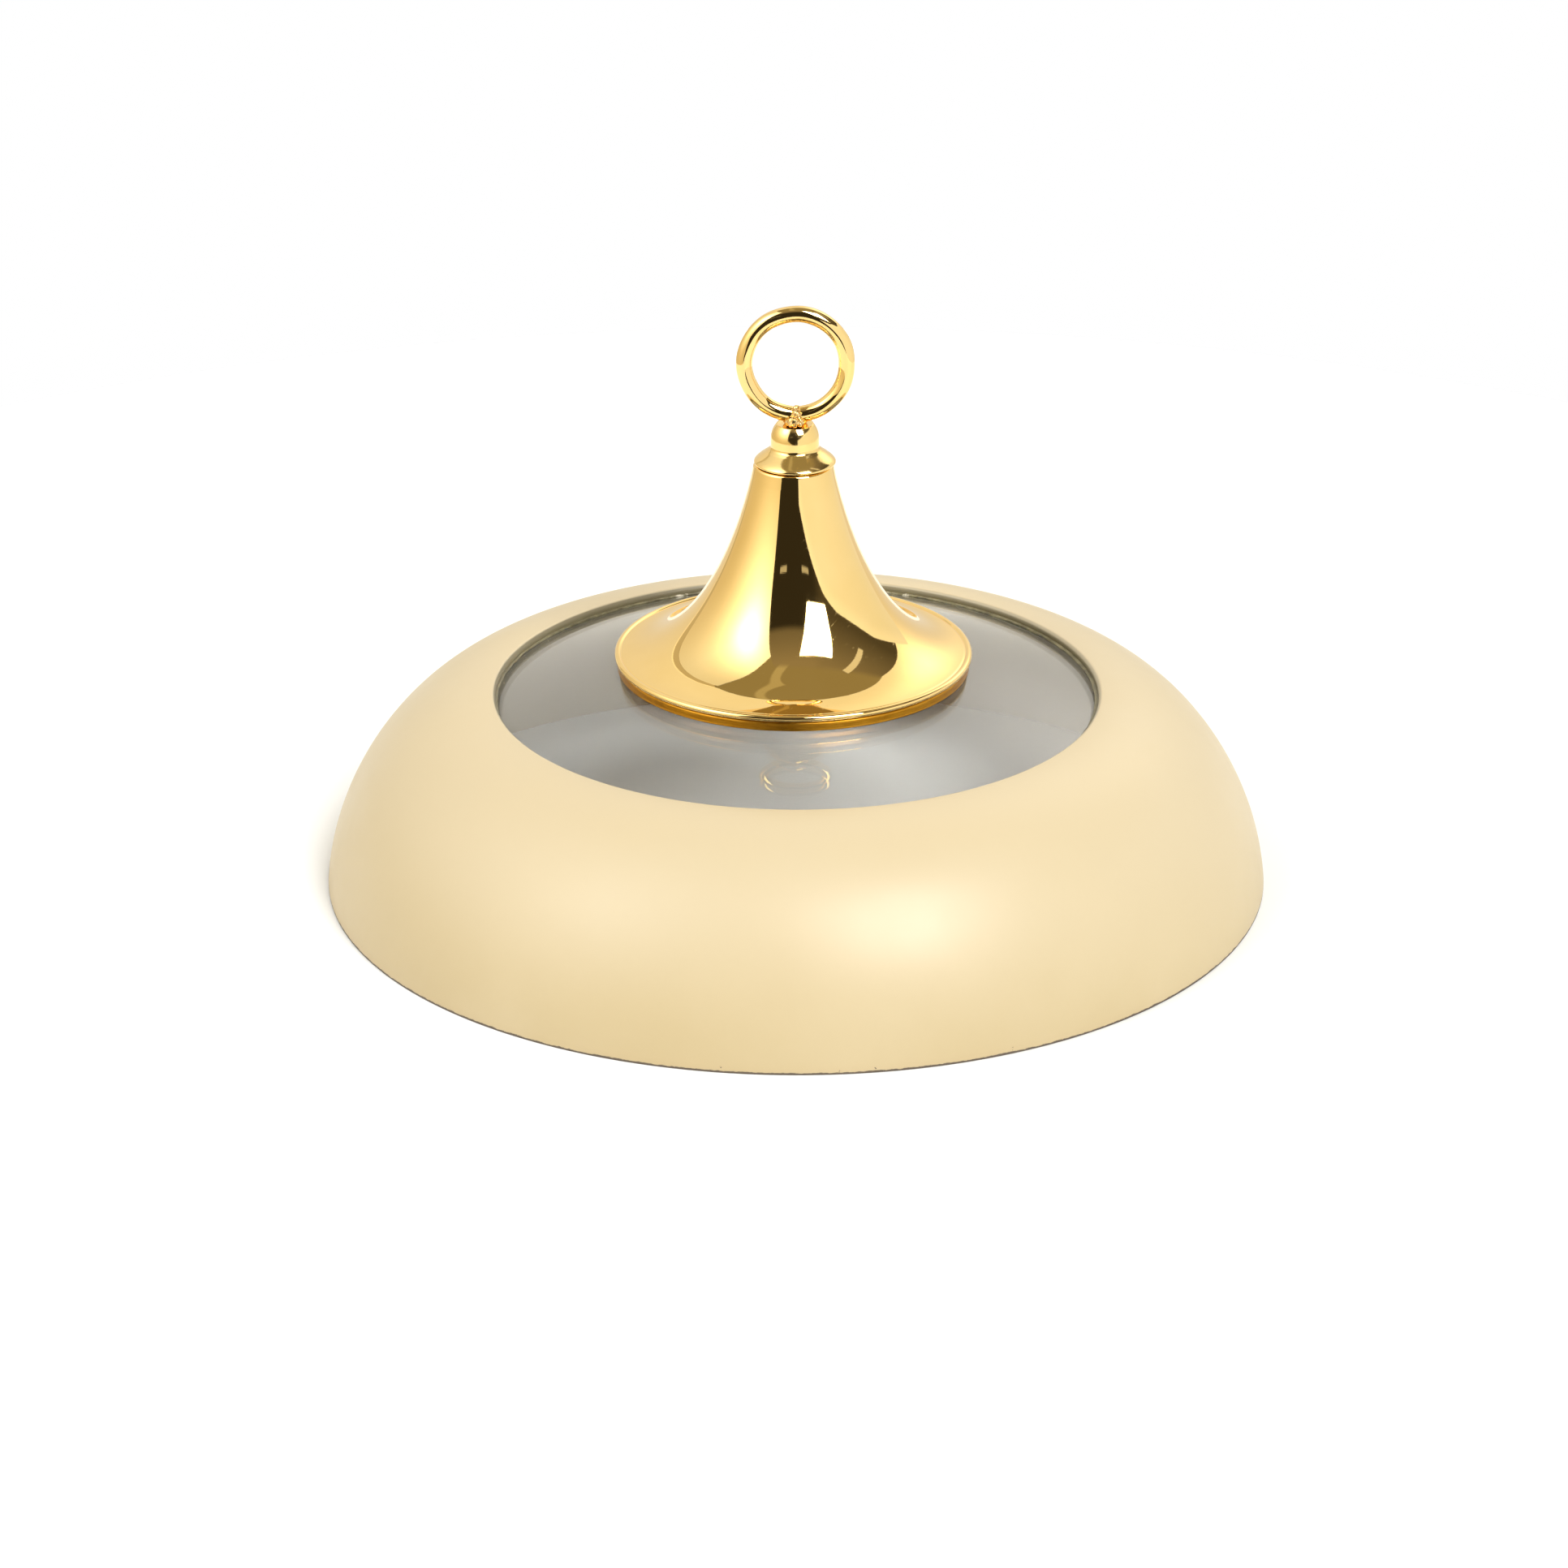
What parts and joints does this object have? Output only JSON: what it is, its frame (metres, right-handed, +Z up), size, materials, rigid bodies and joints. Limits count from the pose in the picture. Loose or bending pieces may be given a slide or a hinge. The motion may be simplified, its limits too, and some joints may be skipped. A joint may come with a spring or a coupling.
{
  "type": "glass cloche",
  "caption": "Round bell-shaped cover: a painted metal ring with a clear domed glass in its crown, a gold trumpet handle and a finger ring on top.",
  "frame": {"origin": "centre of the bottom rim, in the plane that the cloche stands on", "axes": "+Z up along the axis that everything is turned about, towards the finger ring; +Y through the finger ring, so that X runs across it"},
  "size_m": [0.3, 0.3, 0.1896],
  "materials": {
    "cream_paint": "satin cream stove paint on spun sheet metal",
    "clear_glass": "clear, polished, faint green edge",
    "clear_silicone": "milky silicone sealant",
    "gold_polished": "mirror-polished gold plate",
    "gold_satin": "brushed gold plate",
    "braze_gold": "plated braze, uneven",
    "black_rubber": "matt",
    "white_nylon": "moulded nylon",
    "zinc_steel": "zinc plated"
  },
  "bodies": {
    "root": {"cream_shell": "cream_paint", "glass_dome": "clear_glass", "sealant_bead": "clear_silicone", "trumpet_handle": "gold_polished", "base_cup": "gold_satin", "base_gasket": "black_rubber", "top_cap": "gold_polished", "pull_ring": "gold_polished", "braze_bead": "braze_gold", "threaded_rod": "zinc_steel", "neck_collar": "white_nylon", "glass_bush": "white_nylon", "under_gasket": "black_rubber", "under_washer": "zinc_steel", "lock_washer": "zinc_steel", "cap_nut": "zinc_steel"}
  },
  "joints": []
}
